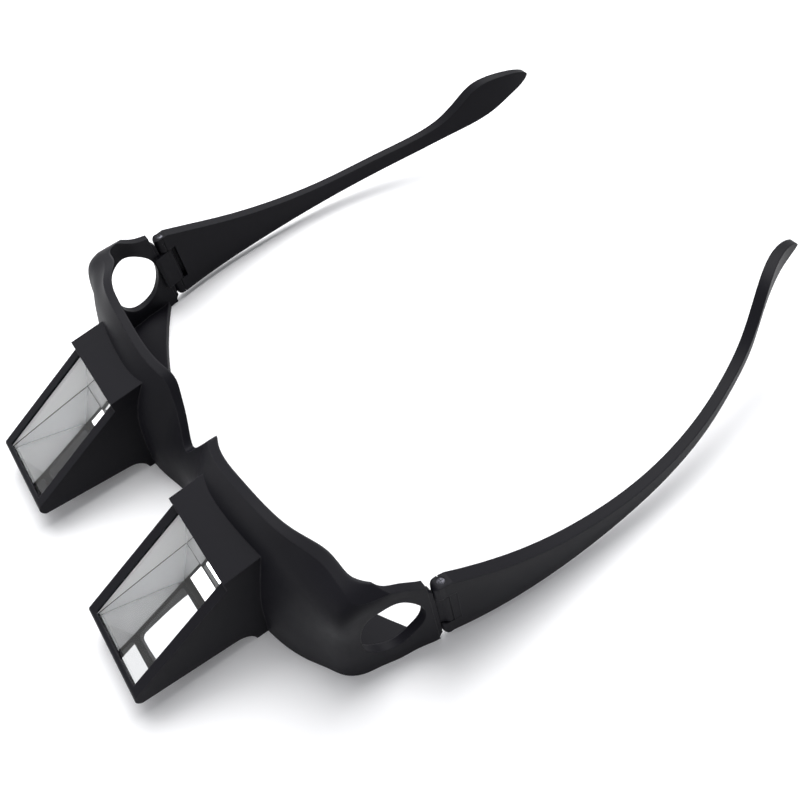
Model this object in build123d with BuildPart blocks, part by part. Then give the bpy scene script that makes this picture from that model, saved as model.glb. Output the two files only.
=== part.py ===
from build123d import *
from math import atan2, cos, radians, sin, tan
import os

os.makedirs("parts", exist_ok=True)

# Glasses with a prism in front of each eye, for reading while lying flat.
# They lie as put down on a table, resting on the brow edge: +Z is the wearer's down,
# +Y runs back along the temples and X = 0 is the mirror plane.
# Distances ahead and behind are counted from the rear ends of the front frame, which
# stand at datum_y, so that the origin is on the table at the middle of the length.

# Overall sizes, in millimetres
front_reach = 63.4        # rear ends of the front frame to the noses of the housings
temple_reach = 128.3      # the same ends to the tips of the temples
half_width = 71.7         # mirror plane to the outside of the frame at its rear ends
brow_depth = 32.6         # rear ends to the front wall, at the brow edge
hood_height = 39.2        # brow edge to the highest level that shapes the front wall
wall = 2.2                # thickness of the moulded walls
overrun = 5.0             # how far a cut runs past the face that it opens
fit_gap = 0.15            # between a fitted piece and its seat
datum_y = (front_reach - temple_reach) / 2

# Front wall: plan outline at eight levels. Each row holds X as a share of half_width and
# the distance ahead as a share of brow_depth, from the mirror plane to the rear end.
level_shares = [0.0, 0.18, 0.357, 0.51, 0.663, 0.791, 0.893, 1.0]
plan_shares = [
    [(0.0, 0.905), (0.112, 0.945), (0.193, 0.985), (0.428, 1.0), (0.641, 0.951), (0.776, 0.856),
     (0.875, 0.733), (0.931, 0.64), (0.948, 0.54), (0.967, 0.37), (1.0, 0.0)],
    [(0.0, 0.865), (0.112, 0.9), (0.193, 0.958), (0.428, 0.975), (0.641, 0.918), (0.777, 0.826),
     (0.876, 0.713), (0.931, 0.628), (0.949, 0.528), (0.968, 0.355), (1.0, 0.0)],
    [(0.0, 0.81), (0.112, 0.84), (0.193, 0.92), (0.428, 0.942), (0.641, 0.88), (0.779, 0.79),
     (0.876, 0.69), (0.931, 0.615), (0.949, 0.515), (0.968, 0.34), (1.0, 0.0)],
    [(0.0, 0.73), (0.112, 0.755), (0.193, 0.865), (0.428, 0.895), (0.641, 0.83), (0.779, 0.755),
     (0.876, 0.675), (0.934, 0.61), (0.954, 0.505), (0.97, 0.325), (1.0, 0.0)],
    [(0.0, 0.63), (0.112, 0.65), (0.193, 0.77), (0.428, 0.828), (0.641, 0.77), (0.779, 0.71),
     (0.876, 0.65), (0.943, 0.61), (0.961, 0.495), (0.972, 0.31), (1.0, 0.0)],
    [(0.0, 0.53), (0.112, 0.55), (0.193, 0.655), (0.428, 0.76), (0.641, 0.715), (0.779, 0.655),
     (0.876, 0.595), (0.94, 0.54), (0.958, 0.44), (0.972, 0.27), (1.0, 0.0)],
    [(0.0, 0.46), (0.112, 0.475), (0.193, 0.56), (0.428, 0.685), (0.631, 0.655), (0.753, 0.565),
     (0.825, 0.46), (0.881, 0.36), (0.921, 0.25), (0.957, 0.13), (1.0, 0.0)],
    [(0.0, 0.4), (0.112, 0.415), (0.193, 0.485), (0.428, 0.595), (0.601, 0.59), (0.703, 0.52),
     (0.774, 0.42), (0.835, 0.31), (0.886, 0.2), (0.937, 0.09), (0.993, 0.0)],
]
wall_columns = 46         # how many strips the plan outlines are divided into
surface_tolerance = 0.01  # how closely the face follows them

# Rim of the front wall, the wearer's lower edge, with the nose notch at its middle:
# X as a share of half_width and height as a share of hood_height
rim_shares = [
    (0.0, 0.472), (0.036, 0.522), (0.074, 0.605), (0.124, 0.71), (0.15, 0.775), (0.175, 0.815),
    (0.214, 0.845), (0.275, 0.878), (0.458, 0.957), (0.596, 0.98), (0.703, 0.955), (0.794, 0.908),
    (0.876, 0.87), (0.92, 0.845), (0.947, 0.817), (1.069, 0.74),
]
# Cheek line, the same rim seen from the side: distance ahead as a share of brow_depth and
# height as a share of hood_height
cheek_shares = [
    (0.46, 1.12), (0.385, 1.0), (0.345, 0.935), (0.272, 0.83), (0.18, 0.759), (0.07, 0.705),
    (-0.1, 0.65),
]

# Brow shelf, the flat panel that meets the forehead
brow_inset = 1.0          # edge of the panel back from the face of the front wall
brow_middle = 22.7        # its rear edge ahead of the datum at the mirror plane
brow_end = 3.0            # the same at its ends
brow_margin = 3.2         # its ends inward from the outside of the frame
brow_half = half_width - brow_margin

# Side windows, the rounded openings beside the hinges: share of brow_depth and of hood_height
side_window_shares = [
    (0.497, 0.286), (0.488, 0.49), (0.405, 0.628), (0.282, 0.663), (0.141, 0.597),
    (0.046, 0.434), (0.086, 0.296), (0.227, 0.186), (0.405, 0.186),
]

# Prism housings
housing_near = 17.4       # mirror plane to the nose side of a housing
housing_width = 27.5
lip_ahead = 33.9          # where the panel over the window ends
lip_height = 28.2
panel_run = 10.0          # how far the panel runs into the front wall
panel_slope = 6.5         # degrees that the panel rises toward the face
window_slope = 29.5       # degrees from the table to the window
nose_height = 9.0         # end of the window rim at the housing's nose
nose_depth = 3.3          # from there down to the floor
nose_setback = 0.5        # rim end behind the foremost point
nose_wall = 1.0           # thickness ahead of the prism
floor_slope = 3.3         # degrees that the floor falls toward the face
floor_end = 38.5          # where the floor starts to blend into the front wall
blend_end = 34.2          # where the blend meets the brow edge

# Prisms and what holds them
prism_width = 22.9
prism_rear = 32.2         # distance ahead of the eye face
rim_depth = 0.8           # rim above the window face
window_ledge = 0.4        # rim over each side of the window face
eye_ledge = 1.1           # wall around the eye face
sight_depth = 14.0        # how far the sight opening runs behind the prism
sight_draft = 10.0        # degrees that it opens toward the eye
mirror_thickness = 0.8
cover_thickness = 1.2
cover_ledge = 0.9         # seat of the cover at each side of the chamber
cover_front = 61.3        # distance ahead of the cover's front edge

# Hinges
hinge_inset = 0.6         # hinge axis inward from the outside of the frame
hinge_x = half_width - hinge_inset
hinge_behind = 3.6        # rear ends of the frame to the hinge axis
screw_radius = 0.8
running_gap = 0.05        # radial clearance of the screw in the tongue
ear_gap = 0.02            # the same in the ears
tongue_low = 7.3
tongue_high = 19.0
tongue_root = 1.1         # how far the tongue runs along the side wall
tongue_slant = 0.9        # hinge axis inward to the end of the tongue's outer face
boss_inside = 2.7         # hinge axis inward to the tongue's face at the side wall
fork_gap = 0.25           # between the tongue and each ear
slot_radius = 3.0         # hinge axis to the end of the fork's slot
head_radius = 0.95
head_height = 0.8
head_proud = 0.15         # screw head above the ear
screw_foot = 3.4          # lower end of the screw above the table

# Temples: plan centre line, X as a share of hinge_x, distance behind as a share of
# temple_reach, and thickness as a share of blade_thickness
blade_thickness = 3.2
blade_shares = [
    (1.0, 0.028, 1.0), (1.035, 0.148, 1.0), (1.049, 0.265, 0.95), (1.05, 0.351, 0.9),
    (1.027, 0.53, 0.85), (0.985, 0.647, 0.85), (0.936, 0.733, 0.85), (0.879, 0.811, 0.9),
    (0.78, 0.916, 0.85), (0.748, 1.01, 0.6),
]
# Side outline, from the ear at the hinge along the upper edge, round the tip and back:
# distance behind as a share of temple_reach and height as a share of ear_height
ear_height = 24.3
ear_flat = 1.8            # hinge axis to where the upper edge starts to fall
ear_round = 1.5           # rounding of the ear's front corners
ear_nose = 0.9            # how far the ears run straight ahead of the hinge axis
blade_low = 2.1           # lower edge above the table at the hinge
side_shares = [
    (0.097, 0.868), (0.205, 0.642), (0.33, 0.473), (0.475, 0.395), (0.631, 0.457), (0.735, 0.568),
    (0.787, 0.687), (0.836, 0.93), (0.874, 1.128), (0.909, 1.194), (0.951, 1.197), (0.983, 1.153),
    (1.0, 1.082), (0.987, 1.001), (0.958, 0.918), (0.91, 0.753), (0.84, 0.56), (0.726, 0.363),
    (0.556, 0.203), (0.399, 0.133), (0.282, 0.104), (0.073, 0.086),
]


def ahead(distance):
    """Y of a point that lies in front of the frame's rear ends."""
    return datum_y - distance


def behind(distance):
    """Y of a point that lies behind the frame's rear ends."""
    return datum_y + distance


def sloped(base, slope, distance):
    """Height, at a distance ahead, of a line through base that rises toward the face."""
    return base[1] + (base[0] - distance) * tan(radians(slope))


def shifted(points, insets):
    """Moves each point of an open line to its left by its own inset."""
    moved = []
    for i, (x, y) in enumerate(points):
        after = points[min(i + 1, len(points) - 1)]
        before = points[max(i - 1, 0)]
        turn = atan2(after[1] - before[1], after[0] - before[0])
        moved.append((x - sin(turn) * insets[i], y + cos(turn) * insets[i]))
    return moved


def slab(outline, near, width):
    """Solid of a side outline, given as distances ahead and heights, from X = near outward."""
    with BuildPart() as block:
        with BuildSketch(Plane.YZ.offset(near)):
            with BuildLine():
                Polyline([(ahead(distance), z) for distance, z in outline], close=True)
            make_face()
        extrude(amount=width)
    return block.part


def mirrored(shape):
    """The same piece for the other side."""
    with BuildPart() as other:
        mirror(shape, about=Plane.YZ)
    return other


def both_sides(shape):
    return [shape, mirrored(shape).part]


def mirrored_line(points):
    """An open line from the mirror plane outward, joined to its mirror image."""
    return [(-x, y) for x, y in reversed(points[1:])] + points


# Front wall: one smooth surface through the plan outlines, and the same surface set inward


def run_on(near, far):
    """The row that follows near at the distance from far to near."""
    return [(2 * x - u, 2 * y - v) for (x, y), (u, v) in zip(near, far)]


def even_points(points, count):
    """Evenly spaced points along a smooth line through the given ones."""
    line = Edge.make_spline(points)
    return [((line @ (i / count)).X, (line @ (i / count)).Y) for i in range(count + 1)]


def wall_surface(inset):
    """The front wall's face, set inward by inset and run on past the table, top and rear."""
    heights = [share * hood_height for share in level_shares]
    rows = []
    for shares in plan_shares:
        half_row = [(x * half_width, ahead(y * brow_depth)) for x, y in shares]
        row = even_points(mirrored_line(half_row), wall_columns)
        row = shifted(row, [inset] * len(row))
        left = [(row[0][0], behind(2 * overrun)), (row[0][0], behind(overrun))]
        right = [(row[-1][0], behind(overrun)), (row[-1][0], behind(2 * overrun))]
        rows.append(left + row + right)
    rows = [run_on(rows[0], rows[1])] + rows + [run_on(rows[-1], rows[-2])]
    heights = [-heights[1]] + heights + [2 * heights[-1] - heights[-2]]
    grid = [[Vector(x, y, z) for x, y in row] for z, row in zip(heights, rows)]
    return Face.make_surface_from_array_of_points(grid, tol=surface_tolerance, min_deg=3, max_deg=3)


def hood_solid(inset, low, high, rear):
    """Everything behind the front wall's face between two heights, up to a distance behind."""
    with BuildPart() as block:
        with BuildSketch(Plane.XY.offset(low)):
            with Locations((0, behind(rear) - brow_depth)):
                Rectangle(3 * half_width, 2 * brow_depth)
        extrude(amount=high - low)
        split(bisect_by=wall_surface(inset), keep=Keep.BOTH)
    return block.part.solids().sort_by(Axis.Y)[-1]


hood_outside = hood_solid(0, 0, hood_height, 0)
hood_inside = hood_solid(wall, -wall, hood_height + wall, overrun)


def cutter_above(points, plane):
    """Solid over a line drawn on a plane, deeper than the whole object."""
    top = hood_height + 2 * overrun
    with BuildPart() as cutter:
        with BuildSketch(plane):
            with BuildLine():
                line = Spline(points)
                Polyline(line @ 1, ((line @ 1).X, top), ((line @ 0).X, top), line @ 0)
            make_face()
        extrude(amount=front_reach + temple_reach, both=True)
    return cutter.part


# Housing: side outline of the box that carries the prism, from the panel over the window
# down the sloping rim, round the nose and back along the floor

rim_end = (front_reach - nose_setback, nose_height)
floor_start = (front_reach - 2 * nose_setback, nose_height - nose_depth)
lip = (lip_ahead, lip_height)
panel_start = lip_ahead - panel_run


def rim_z(distance):
    return sloped(rim_end, window_slope, distance)


def floor_z(distance):
    return sloped(floor_start, -floor_slope, distance)


with BuildPart() as housing:
    with BuildSketch(Plane.YZ.offset(housing_near)):
        with BuildLine():
            Polyline(
                (ahead(blend_end), 0),
                (ahead(panel_start), 0),
                (ahead(panel_start), sloped(lip, panel_slope, panel_start)),
                (ahead(lip_ahead), lip_height),
                (ahead(lip_ahead), rim_z(lip_ahead)),
                (ahead(rim_end[0]), nose_height),
            )
            ThreePointArc(
                (ahead(rim_end[0]), nose_height),
                (ahead(front_reach), nose_height - nose_depth / 2),
                (ahead(floor_start[0]), floor_start[1]),
            )
            Line((ahead(floor_start[0]), floor_start[1]), (ahead(floor_end), floor_z(floor_end)))
            TangentArc(
                (ahead(floor_end), floor_z(floor_end)),
                (ahead(blend_end), 0),
                tangent=(cos(radians(floor_slope)), -sin(radians(floor_slope))),
            )
        make_face()
    extrude(amount=housing_width)

# Prism, mirror and cover lie on each other in the chamber and share its slopes

chamber_width = prism_width + 2 * fit_gap
chamber_near = housing_near + (housing_width - chamber_width) / 2
prism_near = chamber_near + fit_gap
prism_front = front_reach - nose_wall - fit_gap


def glass_z(distance):
    """Window face of the prism."""
    return rim_z(distance) - rim_depth / cos(radians(window_slope))


def seat_z(distance):
    """Inner face of the cover."""
    return floor_z(distance) + cover_thickness


def mirror_z(distance):
    """Upper face of the mirror."""
    return seat_z(distance) + mirror_thickness


def silver_z(distance):
    """Long face of the prism, over the mirror."""
    return mirror_z(distance) + fit_gap


def above_z(distance):
    """Clear of the housing's upper side."""
    return rim_z(distance) + overrun


def below_z(distance):
    """Clear of the housing's underside."""
    return floor_z(distance) - overrun


def wedge(front, rear, grow):
    """Side outline of the prism, larger by grow on every side."""
    return [
        (front + grow, silver_z(front) - grow),
        (front + grow, glass_z(front) + grow),
        (rear - grow, glass_z(rear) + grow),
        (rear - grow, silver_z(rear) - grow),
    ]


def sheet(front, rear, low, high):
    """Side outline of a plate between two sloping faces."""
    return [(front, low(front)), (front, high(front)), (rear, high(rear)), (rear, low(rear))]


cover_near = chamber_near - cover_ledge + fit_gap
cover_width = chamber_width + 2 * cover_ledge - 2 * fit_gap
prism_room = slab(wedge(prism_front, prism_rear, fit_gap), chamber_near, chamber_width)
floor_room = slab(
    sheet(cover_front + fit_gap, prism_rear - fit_gap, below_z, silver_z),
    chamber_near,
    chamber_width,
)
cover_room = slab(
    sheet(cover_front + fit_gap, prism_rear - fit_gap, below_z, seat_z),
    chamber_near - cover_ledge,
    chamber_width + 2 * cover_ledge,
)
window_room = slab(
    sheet(prism_front - window_ledge, lip_ahead, glass_z, above_z),
    prism_near + window_ledge,
    prism_width - 2 * window_ledge,
)

sight_low = silver_z(prism_rear) + eye_ledge
sight_high = glass_z(prism_rear) - eye_ledge
with BuildPart() as sight_room:
    with BuildSketch(Plane.XZ.offset(-ahead(prism_rear))):
        with Locations((prism_near + prism_width / 2, (sight_low + sight_high) / 2)):
            RectangleRounded(prism_width - 2 * eye_ledge, sight_high - sight_low, eye_ledge)
    extrude(amount=-sight_depth, taper=-sight_draft)

# Front frame: hood and housings, cut along the rim and the cheeks, opened for the prisms,
# with the brow shelf, the side windows and the hinge tongues

rim = mirrored_line([(x * half_width, z * hood_height) for x, z in rim_shares])
cheek = [(ahead(y * brow_depth), z * hood_height) for y, z in cheek_shares]
side_window = [(ahead(y * brow_depth), z * hood_height) for y, z in side_window_shares]
hinge_y = behind(hinge_behind)
knuckle_radius = blade_thickness / 2

with BuildPart() as brow_shelf:
    add(hood_solid(brow_inset, 0, wall, 0))
    with BuildSketch():
        with BuildLine():
            forehead = ThreePointArc(
                (-brow_half, ahead(brow_end)), (0, ahead(brow_middle)), (brow_half, ahead(brow_end))
            )
            Polyline(
                forehead @ 1,
                (half_width + overrun, ahead(brow_end)),
                (half_width + overrun, behind(overrun)),
                (-half_width - overrun, behind(overrun)),
                (-half_width - overrun, ahead(brow_end)),
                forehead @ 0,
            )
        make_face()
    extrude(amount=wall, mode=Mode.SUBTRACT)

with BuildPart() as window_cut:
    with BuildSketch(Plane.YZ.offset(half_width / 2)):
        with BuildLine():
            Spline(side_window, periodic=True)
        make_face()
    extrude(amount=half_width)

with BuildPart() as tongue:
    with BuildSketch(Plane.XY.offset(tongue_low)):
        with BuildLine():
            Polyline(
                (hinge_x - knuckle_radius, hinge_y),
                (hinge_x - boss_inside, behind(0)),
                (hinge_x - boss_inside, ahead(tongue_root)),
                (hinge_x - tongue_slant, ahead(tongue_root)),
                (hinge_x + knuckle_radius, hinge_y),
                close=True,
            )
        make_face()
        with Locations((hinge_x, hinge_y)):
            Circle(knuckle_radius)
            Circle(screw_radius + running_gap, mode=Mode.SUBTRACT)
    extrude(amount=tongue_high - tongue_low)

with BuildPart() as front_frame:
    add(hood_outside)
    add(both_sides(housing.part))
    add(hood_inside, mode=Mode.SUBTRACT)
    add(cutter_above(rim, Plane.XZ), mode=Mode.SUBTRACT)
    add(cutter_above(cheek, Plane.YZ), mode=Mode.SUBTRACT)
    for room in (prism_room, floor_room, cover_room, window_room, sight_room.part, window_cut.part):
        add(both_sides(room), mode=Mode.SUBTRACT)
    add(brow_shelf.part)
    add(both_sides(tongue.part))
front_frame.part.label = "front_frame"
export_step(front_frame.part, "parts/front_frame.step")

# Prisms
with BuildPart() as right_prism:
    add(slab(wedge(prism_front, prism_rear, 0), prism_near, prism_width))
right_prism.part.label = "right_prism"
export_step(right_prism.part, "parts/right_prism.step")

left_prism = mirrored(right_prism.part)
left_prism.part.label = "left_prism"
export_step(left_prism.part, "parts/left_prism.step")

# Mirrors, thin silvered plates between prism and cover
with BuildPart() as right_mirror:
    add(slab(sheet(cover_front, prism_rear, seat_z, mirror_z), prism_near, prism_width))
right_mirror.part.label = "right_mirror"
export_step(right_mirror.part, "parts/right_mirror.step")

left_mirror = mirrored(right_mirror.part)
left_mirror.part.label = "left_mirror"
export_step(left_mirror.part, "parts/left_mirror.step")

# Covers, flush with the floor of the housings
with BuildPart() as right_housing_cover:
    add(slab(sheet(cover_front, prism_rear, floor_z, seat_z), cover_near, cover_width))
right_housing_cover.part.label = "right_housing_cover"
export_step(right_housing_cover.part, "parts/right_housing_cover.step")

left_housing_cover = mirrored(right_housing_cover.part)
left_housing_cover.part.label = "left_housing_cover"
export_step(left_housing_cover.part, "parts/left_housing_cover.step")

# Temples: a ribbon in plan, cut to the side outline, with a fork at the hinge

spine = [(x * hinge_x, behind(y * temple_reach)) for x, y, t in blade_shares]
spine[0] = (hinge_x, hinge_y)
inner_line = shifted(spine, [t * blade_thickness / 2 for x, y, t in blade_shares])
outer_line = shifted(spine, [-t * blade_thickness / 2 for x, y, t in blade_shares])
side = [(behind(y * temple_reach), z * ear_height) for y, z in side_shares]

with BuildPart() as right_temple:
    with BuildSketch():
        with BuildLine():
            inner = Spline(inner_line)
            outer = Spline(outer_line)
            Line(inner @ 0, outer @ 0)
            Line(inner @ 1, outer @ 1)
        make_face()
        with Locations((hinge_x, hinge_y - ear_nose / 2)):
            Rectangle(blade_thickness, ear_nose)
        with Locations((hinge_x, hinge_y - ear_nose)):
            Circle(knuckle_radius)
    extrude(amount=2 * ear_height)
    with BuildSketch(Plane.YZ) as side_view:
        with BuildLine():
            front_y = hinge_y - ear_nose - knuckle_radius - running_gap
            edge = Spline([(hinge_y + ear_flat, ear_height)] + side)
            Polyline(edge @ 1, (front_y, blade_low), (front_y, ear_height), edge @ 0)
        make_face()
        fillet(side_view.vertices().group_by(Axis.X)[0], ear_round)
    extrude(amount=2 * half_width, mode=Mode.INTERSECT)
    with BuildSketch(Plane.XY.offset(tongue_low - fork_gap)):
        with Locations((hinge_x, hinge_y)):
            Circle(slot_radius)
    extrude(amount=tongue_high - tongue_low + 2 * fork_gap, mode=Mode.SUBTRACT)
    with BuildSketch(Plane.XY.offset(screw_foot)):
        with Locations((hinge_x, hinge_y)):
            Circle(screw_radius + ear_gap)
    extrude(amount=ear_height, mode=Mode.SUBTRACT)
    with BuildSketch(Plane.XY.offset(ear_height + head_proud - head_height)):
        with Locations((hinge_x, hinge_y)):
            Circle(head_radius + ear_gap)
    extrude(amount=head_height + overrun, mode=Mode.SUBTRACT)
right_temple.part.label = "right_temple"
export_step(right_temple.part, "parts/right_temple.step")

left_temple = mirrored(right_temple.part)
left_temple.part.label = "left_temple"
export_step(left_temple.part, "parts/left_temple.step")

# Hinge screws, held in the ears and turning in the tongue
with BuildPart() as right_hinge_screw:
    with BuildSketch(Plane.XY.offset(screw_foot)):
        with Locations((hinge_x, hinge_y)):
            Circle(screw_radius)
    extrude(amount=ear_height + head_proud - head_height - screw_foot)
    with BuildSketch(Plane.XY.offset(ear_height + head_proud - head_height)):
        with Locations((hinge_x, hinge_y)):
            Circle(head_radius)
    extrude(amount=head_height)
right_hinge_screw.part.label = "right_hinge_screw"
export_step(right_hinge_screw.part, "parts/right_hinge_screw.step")

left_hinge_screw = mirrored(right_hinge_screw.part)
left_hinge_screw.part.label = "left_hinge_screw"
export_step(left_hinge_screw.part, "parts/left_hinge_screw.step")
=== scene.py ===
from math import pi, radians

import bmesh
import bpy
from mathutils import Matrix, Vector


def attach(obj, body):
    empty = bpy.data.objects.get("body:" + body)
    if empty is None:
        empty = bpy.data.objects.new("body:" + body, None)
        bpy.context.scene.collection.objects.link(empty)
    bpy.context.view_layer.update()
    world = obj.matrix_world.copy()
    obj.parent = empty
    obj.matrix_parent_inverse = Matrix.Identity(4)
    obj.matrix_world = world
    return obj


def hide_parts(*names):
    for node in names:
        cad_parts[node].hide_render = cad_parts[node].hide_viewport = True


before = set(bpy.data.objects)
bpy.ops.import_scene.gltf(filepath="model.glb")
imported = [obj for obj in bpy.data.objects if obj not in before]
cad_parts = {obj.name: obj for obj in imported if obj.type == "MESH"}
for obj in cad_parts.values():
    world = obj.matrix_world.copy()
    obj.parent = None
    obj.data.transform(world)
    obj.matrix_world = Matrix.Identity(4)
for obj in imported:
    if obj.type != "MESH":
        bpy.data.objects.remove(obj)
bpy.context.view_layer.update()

# Camera. It looks down on the glasses from their right side and a little from in
# front, about 24 cm from the middle.
eye = Vector((0.1485, -0.0625, 0.1963))
look = Vector((-0.5603, 0.2483, -0.7902)).normalized()
to_the_right = Vector((0.5625, 0.8143, -0.1429)).normalized()
film_width = 36.0
focal_share = 1.1241
nearest_seen = 0.005

camera_data = bpy.data.cameras.new("camera")
camera_data.sensor_width = film_width
camera_data.lens = film_width * focal_share
camera_data.clip_start = nearest_seen
camera = bpy.data.objects.new("camera", camera_data)
bpy.context.collection.objects.link(camera)
turn = Matrix((to_the_right, to_the_right.cross(look), -look)).transposed()
camera.matrix_world = Matrix.Translation(eye) @ turn.to_4x4()
bpy.context.scene.camera = camera
bpy.context.scene.view_settings.view_transform = "Standard"


# Table top and light. The table is plain and white, and fades into a white background.
# A large soft lamp stands behind the glasses, and weaker ones at the left and in front.
class Varying:
    """A value that varies over a surface. Sums and products of it add Math nodes."""

    def __init__(self, finish, socket):
        self.finish = finish
        self.socket = socket

    def worked(self, operation, first, second):
        added = self.finish.node("ShaderNodeMath", {"operation": operation}, {0: first, 1: second})
        return added["Value"]

    def __add__(self, other):
        return self.worked("ADD", self, other)

    def __rsub__(self, other):
        return self.worked("SUBTRACT", other, self)

    def __mul__(self, other):
        return self.worked("MULTIPLY", self, other)

    __radd__ = __add__
    __rmul__ = __mul__


class Outputs:
    """The outputs of one node, by name or by number."""

    def __init__(self, finish, node):
        self.finish = finish
        self.sockets = node.outputs

    def __getitem__(self, name):
        return Varying(self.finish, self.sockets[name])


class Finish:
    """A material or the world, to which nodes are added."""

    def __init__(self, owner):
        owner.use_nodes = True
        self.owner = owner
        self.tree = owner.node_tree
        self.tree.nodes.clear()

    def node(self, kind, settings=None, values=None):
        """Adds a node: its settings first, then the values or links of its sockets."""
        added = self.tree.nodes.new(kind)
        for name, setting in (settings or {}).items():
            setattr(added, name, setting)
        for name, value in (values or {}).items():
            if isinstance(value, Varying):
                self.tree.links.new(value.socket, added.inputs[name])
            else:
                added.inputs[name].default_value = value
        return Outputs(self, added)

    def surface(self, shader):
        """Gives the material its shader and returns the material."""
        self.node("ShaderNodeOutputMaterial", {}, {"Surface": shader})
        return self.owner


def background_seen(finish):
    """One where the camera, a reflection or a view through glass meets the background."""
    path = finish.node("ShaderNodeLightPath")
    seen = path["Is Camera Ray"] + path["Is Glossy Ray"] + path["Is Transmission Ray"]
    return finish.node("ShaderNodeMath", {"operation": "MINIMUM"}, {0: seen, 1: 1.0})["Value"]


def either(finish, share, first, second):
    """The first shader where share is 0 and the second where it is 1."""
    return finish.node("ShaderNodeMixShader", {}, {0: share, 1: first, 2: second})["Shader"]


def mesh_object(name, mesh_maker):
    """An object at the origin whose mesh is what mesh_maker builds."""
    shape = bmesh.new()
    mesh_maker(shape)
    mesh = bpy.data.meshes.new(name)
    shape.to_mesh(mesh)
    shape.free()
    made = bpy.data.objects.new(name, mesh)
    bpy.context.collection.objects.link(made)
    return made


table_size = 3.0
table_drop = 0.00005
table_colour = (0.93, 0.93, 0.94, 1)
table_glow = 0.1
fade_start = 0.24
fade_end = 0.6
white = (1, 1, 1, 1)
sky_light = (0.6, 0.62, 0.68, 1)
sky_strength = 0.2
lamps_aim = Vector((0, -0.02, 0.02))


def table_sheet(shape):
    """A square sheet, just below the feet of the glasses."""
    bmesh.ops.create_grid(shape, x_segments=1, y_segments=1, size=table_size)
    bmesh.ops.translate(shape, verts=shape.verts, vec=(0, 0, -table_drop))


def white_table():
    """Matt white with the shadow near the glasses, and plain white far away."""
    finish = Finish(bpy.data.materials.new("table_white"))
    matt = finish.node("ShaderNodeBsdfDiffuse", {}, {"Color": table_colour})["BSDF"]
    glow = finish.node(
        "ShaderNodeEmission",
        {},
        {"Color": table_colour, "Strength": background_seen(finish) * table_glow},
    )["Emission"]
    lit = finish.node("ShaderNodeAddShader", {}, {0: matt, 1: glow})["Shader"]
    place = finish.node("ShaderNodeTexCoord")["Object"]
    distance = finish.node("ShaderNodeVectorMath", {"operation": "LENGTH"}, {0: place})["Value"]
    fade = finish.node(
        "ShaderNodeMapRange",
        {"interpolation_type": "SMOOTHSTEP"},
        {"Value": distance, "From Min": fade_start, "From Max": fade_end},
    )["Result"]
    plain = finish.node("ShaderNodeEmission", {}, {"Color": white, "Strength": 1.0})["Emission"]
    return finish.surface(either(finish, fade * background_seen(finish), lit, plain))


table = mesh_object("table_top", table_sheet)
table.data.materials.append(white_table())

world = bpy.data.worlds.new("studio")
bpy.context.scene.world = world
studio = Finish(world)
lighting = studio.node(
    "ShaderNodeBackground", {}, {"Color": sky_light, "Strength": sky_strength}
)["Background"]
seen_white = studio.node(
    "ShaderNodeBackground", {}, {"Color": white, "Strength": 1.0}
)["Background"]
studio.node(
    "ShaderNodeOutputWorld",
    {},
    {"Surface": either(studio, background_seen(studio), lighting, seen_white)},
)


def soft_lamp(name, place, width, power):
    """A square lamp at a place, turned towards the glasses."""
    lamp_data = bpy.data.lights.new(name, "AREA")
    lamp_data.size = width
    lamp_data.energy = power
    lamp = bpy.data.objects.new(name, lamp_data)
    bpy.context.collection.objects.link(lamp)
    turned = (Vector(place) - lamps_aim).to_track_quat("Z", "Y")
    lamp.matrix_world = Matrix.Translation(place) @ turned.to_matrix().to_4x4()


soft_lamp("key_lamp", place=(-0.26, 0.28, 0.78), width=0.8, power=12.5)
soft_lamp("left_lamp", place=(-0.55, -0.2, 0.8), width=0.6, power=2.0)
soft_lamp("front_lamp", place=(0.2, -0.85, 0.4), width=0.5, power=2.0)


# Front frame, covers and temples. Black plastic, injection moulded in a polished tool
# with a fine satin grain. The edges keep the small radius of the mould, with a painted highlight
# along them.
black = (0.0034, 0.0033, 0.005, 1)
worn_black = (0.006, 0.0058, 0.0084, 1)
# The lighter colour of the painted highlight along the edges.
painted_edge_highlight = (0.032, 0.032, 0.036, 1)
frame_roughness = 0.5
temple_roughness = 0.48
cover_roughness = 0.58
cloud_scale = 45.0
cloud_roughness = 0.12
grain_scale = 3200.0
grain_roughness = 0.03
grain_height = 0.00003
grain_strength = 0.12
edge_radius = 0.00045
edge_samples = 4
highlight_start = 0.02
highlight_full = 0.25
plastic_gloss = 0.085


def noise(finish, place, scale, detail):
    """A cloudy pattern between 0 and 1."""
    values = {"Vector": place, "Scale": scale, "Detail": detail}
    return finish.node("ShaderNodeTexNoise", {}, values)["Fac"]


def blend(finish, share, first, second):
    """The first colour where share is 0 and the second where it is 1.

    The Mix node's colours go by number, because it has more sockets of the same names.
    """
    share_in, first_in, second_in, colour_out = 0, 6, 7, 2
    values = {share_in: share, first_in: first, second_in: second}
    return finish.node("ShaderNodeMix", {"data_type": "RGBA"}, values)[colour_out]


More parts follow.
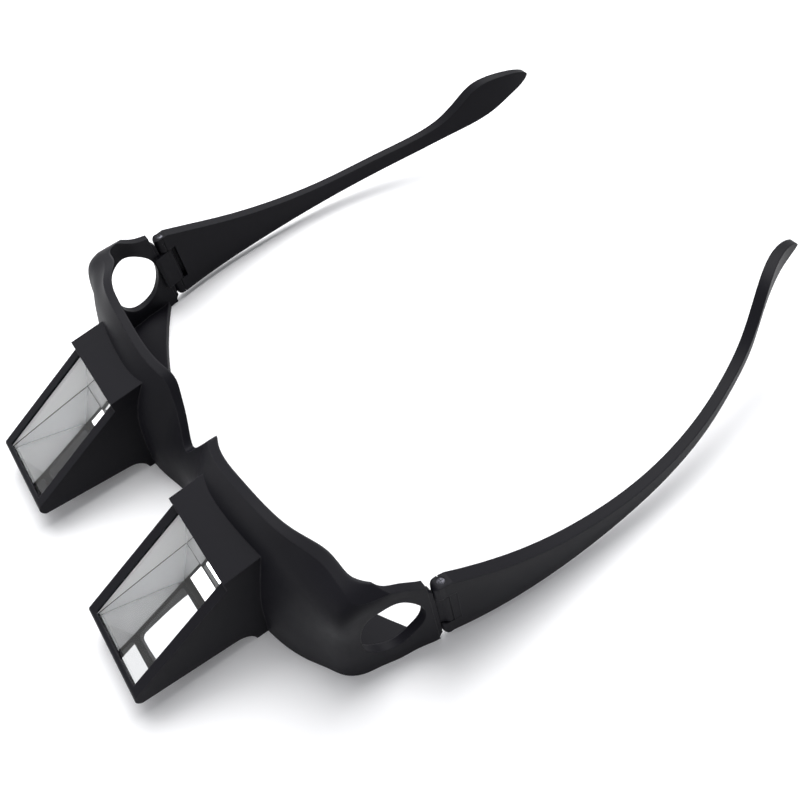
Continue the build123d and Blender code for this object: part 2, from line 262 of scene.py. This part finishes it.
def moulded_black(name, roughness):
    """Black plastic whose roughness varies a little round the one given, with a highlight painted
    along its edges.
    """
    finish = Finish(bpy.data.materials.new(name))
    place = finish.node("ShaderNodeTexCoord")["Object"]
    cloud = noise(finish, place, cloud_scale, detail=3.0)
    grain = noise(finish, place, grain_scale, detail=2.0)
    rounded = finish.node(
        "ShaderNodeBevel", {"samples": edge_samples}, {"Radius": edge_radius}
    )["Normal"]
    relief = finish.node(
        "ShaderNodeBump",
        {},
        {
            "Strength": grain_strength,
            "Distance": grain_height,
            "Height": grain,
            "Normal": rounded,
        },
    )["Normal"]
    flat = finish.node("ShaderNodeNewGeometry")["Normal"]
    alike = finish.node(
        "ShaderNodeVectorMath", {"operation": "DOT_PRODUCT"}, {0: rounded, 1: flat}
    )["Value"]
    # Painted highlight: the colour gets lighter where the rounded edge normal turns away from the
    # face's own normal.
    edge_highlight_share = finish.node(
        "ShaderNodeMapRange",
        {},
        {"Value": 1 - alike, "From Min": highlight_start, "From Max": highlight_full},
    )["Result"]
    satin = blend(finish, cloud, black, worn_black)
    smoothest = roughness - cloud_roughness / 2
    shader = finish.node(
        "ShaderNodeBsdfPrincipled",
        {},
        {
            "Base Color": blend(finish, edge_highlight_share, satin, painted_edge_highlight),
            "Roughness": smoothest + cloud * cloud_roughness + grain * grain_roughness,
            "Specular IOR Level": plastic_gloss,
            "Normal": relief,
        },
    )["BSDF"]
    return finish.surface(shader)


def dress(node, material):
    """Gives a carried-over solid its material."""
    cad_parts[node].data.materials.clear()
    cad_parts[node].data.materials.append(material)


sides = {"right": 1, "left": -1}
frame_black = moulded_black("frame_black", frame_roughness)
temple_black = moulded_black("temple_black", temple_roughness)
cover_black = moulded_black("cover_black", cover_roughness)
dress("front_frame", frame_black)
for side in sides:
    dress(side + "_temple", temple_black)
    dress(side + "_housing_cover", cover_black)


# Prisms. A block of clear acrylic in each housing, pushed in from below. The window, the
# eye face and the long face over the mirror are polished. The side faces are left ground.
acrylic_clear = (0.985, 0.99, 0.995, 1)
acrylic_index = 1.49
smear_scale = 120.0
smear_roughness = 0.006
frost_dark = (0.96, 0.965, 0.97, 1)
frost_light = (0.995, 0.995, 0.995, 1)
frost_scale = 900.0
frost_roughness = 0.7
side_facing = 0.5


def clear_acrylic():
    """Clear where a face is polished, and white where it faces sideways and is ground."""
    finish = Finish(bpy.data.materials.new("clear_acrylic"))
    place = finish.node("ShaderNodeTexCoord")["Object"]
    polished = finish.node(
        "ShaderNodeBsdfPrincipled",
        {},
        {
            "Base Color": acrylic_clear,
            "Roughness": noise(finish, place, smear_scale, detail=2.0) * smear_roughness,
            "IOR": acrylic_index,
            "Transmission Weight": 1.0,
        },
    )["BSDF"]
    scratched = noise(finish, place, frost_scale, detail=3.0)
    ground = finish.node(
        "ShaderNodeBsdfPrincipled",
        {},
        {
            "Base Color": blend(finish, scratched, frost_dark, frost_light),
            "Roughness": frost_roughness,
        },
    )["BSDF"]
    normal = finish.node("ShaderNodeNewGeometry")["Normal"]
    sideways = finish.node("ShaderNodeSeparateXYZ", {}, {"Vector": normal})["X"]
    on_side = finish.node(
        "ShaderNodeMath", {"operation": "GREATER_THAN"}, {0: sideways * sideways, 1: side_facing}
    )["Value"]
    return finish.surface(either(finish, on_side, polished, ground))


acrylic = clear_acrylic()
for side in sides:
    dress(side + "_prism", acrylic)


# Mirrors. A thin silvered plate under each prism, which folds the view. The housing
# cover holds it against the prism's long face.
silver_colour = (0.94, 0.945, 0.95, 1)
haze_scale = 200.0
haze_roughness = 0.01


def silvering():
    """A bright mirror with a faint haze."""
    finish = Finish(bpy.data.materials.new("silvering"))
    place = finish.node("ShaderNodeTexCoord")["Object"]
    shader = finish.node(
        "ShaderNodeBsdfPrincipled",
        {},
        {
            "Base Color": silver_colour,
            "Metallic": 1.0,
            "Roughness": noise(finish, place, haze_scale, detail=2.0) * haze_roughness,
        },
    )["BSDF"]
    return finish.surface(shader)


silver = silvering()
for side in sides:
    dress(side + "_mirror", silver)


# Hinge screws. Small steel screws with dark plating, driven in from the ear that faces
# up. Each is the pin of its hinge, and its domed head has a cross recess.
steel_colour = (0.045, 0.045, 0.052, 1)
brush_scale = 900.0
steel_smoothest = 0.16
brush_roughness = 0.15


def plated_steel():
    """Dark plated steel, finely brushed."""
    finish = Finish(bpy.data.materials.new("plated_steel"))
    place = finish.node("ShaderNodeTexCoord")["Object"]
    brush = noise(finish, place, brush_scale, detail=2.0)
    shader = finish.node(
        "ShaderNodeBsdfPrincipled",
        {},
        {
            "Base Color": steel_colour,
            "Metallic": 1.0,
            "Roughness": steel_smoothest + brush * brush_roughness,
        },
    )["BSDF"]
    return finish.surface(shader)


hinge_x = 0.0711
hinge_y = -0.02885
screw_foot = 0.0034
shaft_radius = 0.0008
head_base = 0.02365
head_edge = 0.02424
head_top = 0.02445
head_radius = 0.00095
head_rings = 10
screw_steps = 48
merge_distance = 0.000001
recess_reach = 0.0005
recess_depth = 0.0003
recess_arms = 4
recess_hub = head_radius / 6
arm_half_angle = radians(10)


def in_recess(point):
    """Whether a point of the screw's head lies in the hub or an arm of the cross."""
    reach = point.xy.length
    if point.z <= head_edge or reach > recess_reach:
        return False
    if reach < recess_hub:
        return True
    between_arms = 2 * pi / recess_arms
    bearing = Vector((1, 0)).angle_signed(point.xy)
    off_arm = abs((bearing + between_arms / 2) % between_arms - between_arms / 2)
    return off_arm < arm_half_angle


def screw_shape(shape):
    """Shaft and domed head, turned round the hinge axis, with a cross recess."""
    dome_height = head_top - head_edge
    dome = [
        (head_radius * ring / head_rings, head_top - dome_height * (ring / head_rings) ** 2)
        for ring in range(head_rings + 1)
    ]
    below_dome = [
        (head_radius, head_base),
        (shaft_radius, head_base),
        (shaft_radius, screw_foot),
        (0, screw_foot),
    ]
    points = [shape.verts.new((radius, 0, height)) for radius, height in dome + below_dome]
    edges = [shape.edges.new(pair) for pair in zip(points, points[1:])]
    bmesh.ops.spin(shape, geom=points + edges, cent=(0, 0, 0), axis=(0, 0, 1), angle=2 * pi,
                   steps=screw_steps, use_merge=True)
    bmesh.ops.remove_doubles(shape, verts=shape.verts, dist=merge_distance)
    for point in shape.verts:
        if in_recess(point.co):
            point.co.z -= recess_depth
    bmesh.ops.recalc_face_normals(shape, faces=shape.faces)


steel = plated_steel()
for side, way in sides.items():
    screw = mesh_object(side + "_screw", screw_shape)
    screw.data.transform(Matrix.Translation((way * hinge_x, hinge_y, 0)))
    screw.data.materials.append(steel)
    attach(screw, side + "_arm")
    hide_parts(side + "_hinge_screw")


# Hinge stops and slot webs. Both are black plastic and moulded on. A stop closes the end
# of the frame up to the nose of the temple, and a web the outside of the temple's slot.
stop_outline = ((-0.0327, 0.0008), (-0.03147, 0.0024), (-0.03147, 0.0228), (-0.0327, 0.0248))
stop_inside = 0.06955
stop_outside = 0.07165
web_outline = ((0.00168, 0.00035), (0.0012, 0.00123), (0.00095, 0.00143), (0.00095, 0.0031),
               (0.0022, 0.0031), (0.00178, 0.0009))
web_low = 0.00695
web_high = 0.01935
soft_edge = 0.00008
along_x = Matrix(((0, 0, 1), (1, 0, 0), (0, 1, 0)))
along_z = Matrix.Identity(3)


def soft_bar(outline, low, high, turned):
    """A mesh maker: the outline, pushed from low to high and turned, with soft edges."""

    def maker(shape):
        corners = [shape.verts.new(turned @ Vector((u, v, low))) for u, v in outline]
        face = shape.faces.new(corners)
        pushed = bmesh.ops.extrude_face_region(shape, geom=[face])
        lifted = [part for part in pushed["geom"] if isinstance(part, bmesh.types.BMVert)]
        bmesh.ops.translate(shape, verts=lifted, vec=turned @ Vector((0, 0, high - low)))
        bmesh.ops.recalc_face_normals(shape, faces=shape.faces)
        bmesh.ops.bevel(shape, geom=shape.edges, affect="EDGES", offset=soft_edge, segments=2,
                        profile=0.5, material=-1, clamp_overlap=True)
        bmesh.ops.recalc_face_normals(shape, faces=shape.faces)

    return maker


for side, way in sides.items():
    start, end = sorted((way * stop_inside, way * stop_outside))
    stop = mesh_object(side + "_hinge_stop", soft_bar(stop_outline, start, end, along_x))
    stop.data.materials.append(frame_black)
    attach(stop, "frame")
    placed = [(way * (hinge_x + u), hinge_y + v) for u, v in web_outline]
    web = mesh_object(side + "_slot_web", soft_bar(placed, web_low, web_high, along_z))
    web.data.materials.append(temple_black)
    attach(web, side + "_arm")
